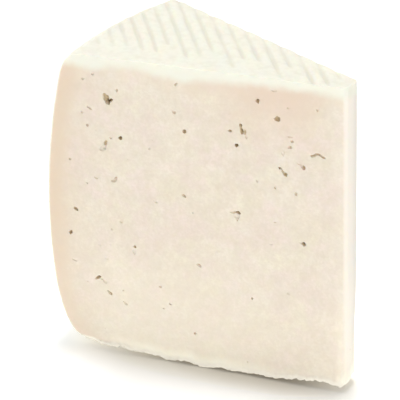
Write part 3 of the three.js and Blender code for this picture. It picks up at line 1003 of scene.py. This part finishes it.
def floorMaterial():
    mat = bpy.data.materials.new("paleFloor")
    mat.use_nodes = True
    nodes, links = mat.node_tree.nodes, mat.node_tree.links
    maths, span, blend, parted = nodeTools(mat.node_tree)
    shader = nodes["Principled BSDF"]
    shader.inputs["Roughness"].default_value = studio["floorRoughness"]
    shader.inputs["Specular IOR Level"].default_value = studio["floorSpecular"]
    shader.inputs["Emission Color"].default_value = (*studio["glowColour"], 1)
    place = nodes.new("ShaderNodeTexCoord").outputs["Object"]

    def vector(operation, first, second=None):
        node = nodes.new("ShaderNodeVectorMath")
        node.operation = operation
        links.new(first, node.inputs[0])
        if second is not None:
            node.inputs[1].default_value = second
        return node.outputs["Value" if operation in ("LENGTH", "DOT_PRODUCT") else "Vector"]

    def beyond(normal, reach=0.0):
        return maths("SUBTRACT", vector("DOT_PRODUCT", place, normal), normal.dot(axisPlace) + reach)

    # How far a spot lies from the wedge's foot, and from the painted soft shadow before it
    fromBack = beyond(backNormal)
    fromCuts = maths("MAXIMUM", beyond(frontNormal), fromBack)
    fromAxis = vector("LENGTH", vector("SUBTRACT", place, axisPlace))
    fromRim = maths("SUBTRACT", fromAxis, wheel["footRadius"] * mm)
    fromEnds = maths("MAXIMUM", fromRim, beyond(tipNormal, tipReach * mm))
    fromFoot = maths("MAXIMUM", fromCuts, fromEnds)
    turned = nodes.new("ShaderNodeVectorRotate")
    turned.rotation_type = "Z_AXIS"
    turned.inputs["Center"].default_value = studio["shadeMiddle"]
    turned.inputs["Angle"].default_value = -studio["shadeTurn"]
    links.new(place, turned.inputs["Vector"])
    off = vector("ABSOLUTE", vector("SUBTRACT", turned.outputs["Vector"], studio["shadeMiddle"]))
    off = vector("MAXIMUM", vector("SUBTRACT", off, studio["shadeHalf"]), (0, 0, 0))
    fromShade = maths("MAXIMUM", vector("LENGTH", off), fromBack)
    along = parted(place)["X"]

    # A painted shadow darkens the floor under the tip and beside the torn edge
    under = maths("MULTIPLY", span(along, *studio["underAlong"]), span(fromFoot, *studio["underSpan"]))
    besideShadow = maths("MULTIPLY", span(along, *studio["besideShadowStart"]), span(fromFoot, *studio["besideShadowSpan"]))
    besideShadow = maths("MULTIPLY", besideShadow, span(along, *studio["besideShadowEnd"]))
    # Painted light bounced from the cheese tints the floor near its foot
    colour = blend(span(fromFoot, *studio["bounceTintSpan"]), studio["floorBounceTint"], studio["floorColour"])
    colour = blend(maths("MAXIMUM", under, besideShadow), colour, studio["floorPaintedShadow"])
    links.new(colour, shader.inputs["Base Color"])

    # The floor glows as painted light, and less so in a painted soft shadow before the wedge
    glow = maths("MAXIMUM", span(fromFoot, *studio["glowContact"]), span(along, *studio["glowRim"]))
    glow = maths("ADD", glow, span(fromShade, *studio["glowRise"]))
    atTip = maths("MULTIPLY", span(along, *studio["glowTip"]), span(fromFoot, *studio["glowTipRise"]))
    glow = maths("ADD", glow, atTip)
    glow = maths("MULTIPLY", glow, span(fromShade, *studio["glowFall"]))
    glow = maths("ADD", glow, span(fromShade, *studio["glowFar"]))
    links.new(glow, shader.inputs["Emission Strength"])
    return mat


def makeSky():
    world = bpy.data.worlds.new("softWorld")
    world.use_nodes = True
    tree = world.node_tree
    _, span, _, parted = nodeTools(tree)
    sky = tree.nodes["Background"]
    sky.inputs["Color"].default_value = (1, 1, 1, 1)
    way = tree.nodes.new("ShaderNodeTexCoord").outputs["Generated"]
    tree.links.new(span(parted(way)["Z"], *studio["skySpan"]), sky.inputs["Strength"])
    bpy.context.scene.world = world


# The way to azimuth 0 is -Y, and to azimuth 90 it is +X
def wayTo(azimuth, elevation):
    level = math.cos(elevation)
    return Vector((math.sin(azimuth) * level, -math.cos(azimuth) * level, math.sin(elevation)))


def makeLight(name, azimuth, elevation, distance, size, share):
    way = wayTo(math.radians(azimuth), math.radians(elevation))
    light = bpy.data.lights.new(name, "AREA")
    light.shape = "DISK"
    light.size = size
    light.energy = share * (math.pi * distance) ** 2
    lamp = addObject(name, light)
    lamp.location = Vector(studio["aim"]) + way * distance
    lamp.rotation_euler = way.to_track_quat("Z", "Y").to_euler()
    lamp.visible_camera = False


def makeStudio():
    bm = bmesh.new()
    bmesh.ops.create_grid(bm, x_segments=1, y_segments=1, size=studio["floorHalf"])
    floor = toObject(bm, "floor")
    floor.data.materials.append(floorMaterial())
    makeSky()
    for light in studio["lights"]:
        makeLight(*light)
    bpy.context.scene.view_settings.view_transform = "Standard"


camera = {
    "azimuth": math.radians(22.14),
    "elevation": math.radians(27.92),
    "roll": math.radians(-2.15),
    "distance": 540.5,
    "target": (-52.2, 0.0, 53.3),
    "lens": 180.0,
    "sensor": 36,
    "clip": (0.01, 20),        # in metres
}


def makeCamera():
    back = wayTo(camera["azimuth"], camera["elevation"])
    right = (-back).cross(Vector((0, 0, 1))).normalized()
    up = right.cross(-back)
    level, tilt = math.cos(camera["roll"]), math.sin(camera["roll"])
    turned = Matrix((right * level + up * tilt, up * level - right * tilt, back)).transposed().to_4x4()
    place = axisPlace + (Vector(camera["target"]) + back * camera["distance"]) * mm
    data = bpy.data.cameras.new("camera")
    data.lens = camera["lens"]
    data.sensor_width = camera["sensor"]
    data.clip_start, data.clip_end = camera["clip"]
    eye = addObject("camera", data)
    eye.matrix_world = Matrix.Translation(place) @ turned
    bpy.context.scene.camera = eye


wedge = buildWedge()
wedge.data.materials.clear()
wedge.data.materials.append(cheeseMaterial())
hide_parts("cheese_wedge")
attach(wedge, "root")
print("wedge finished")

makeStudio()
makeCamera()
print("studio and camera finished")
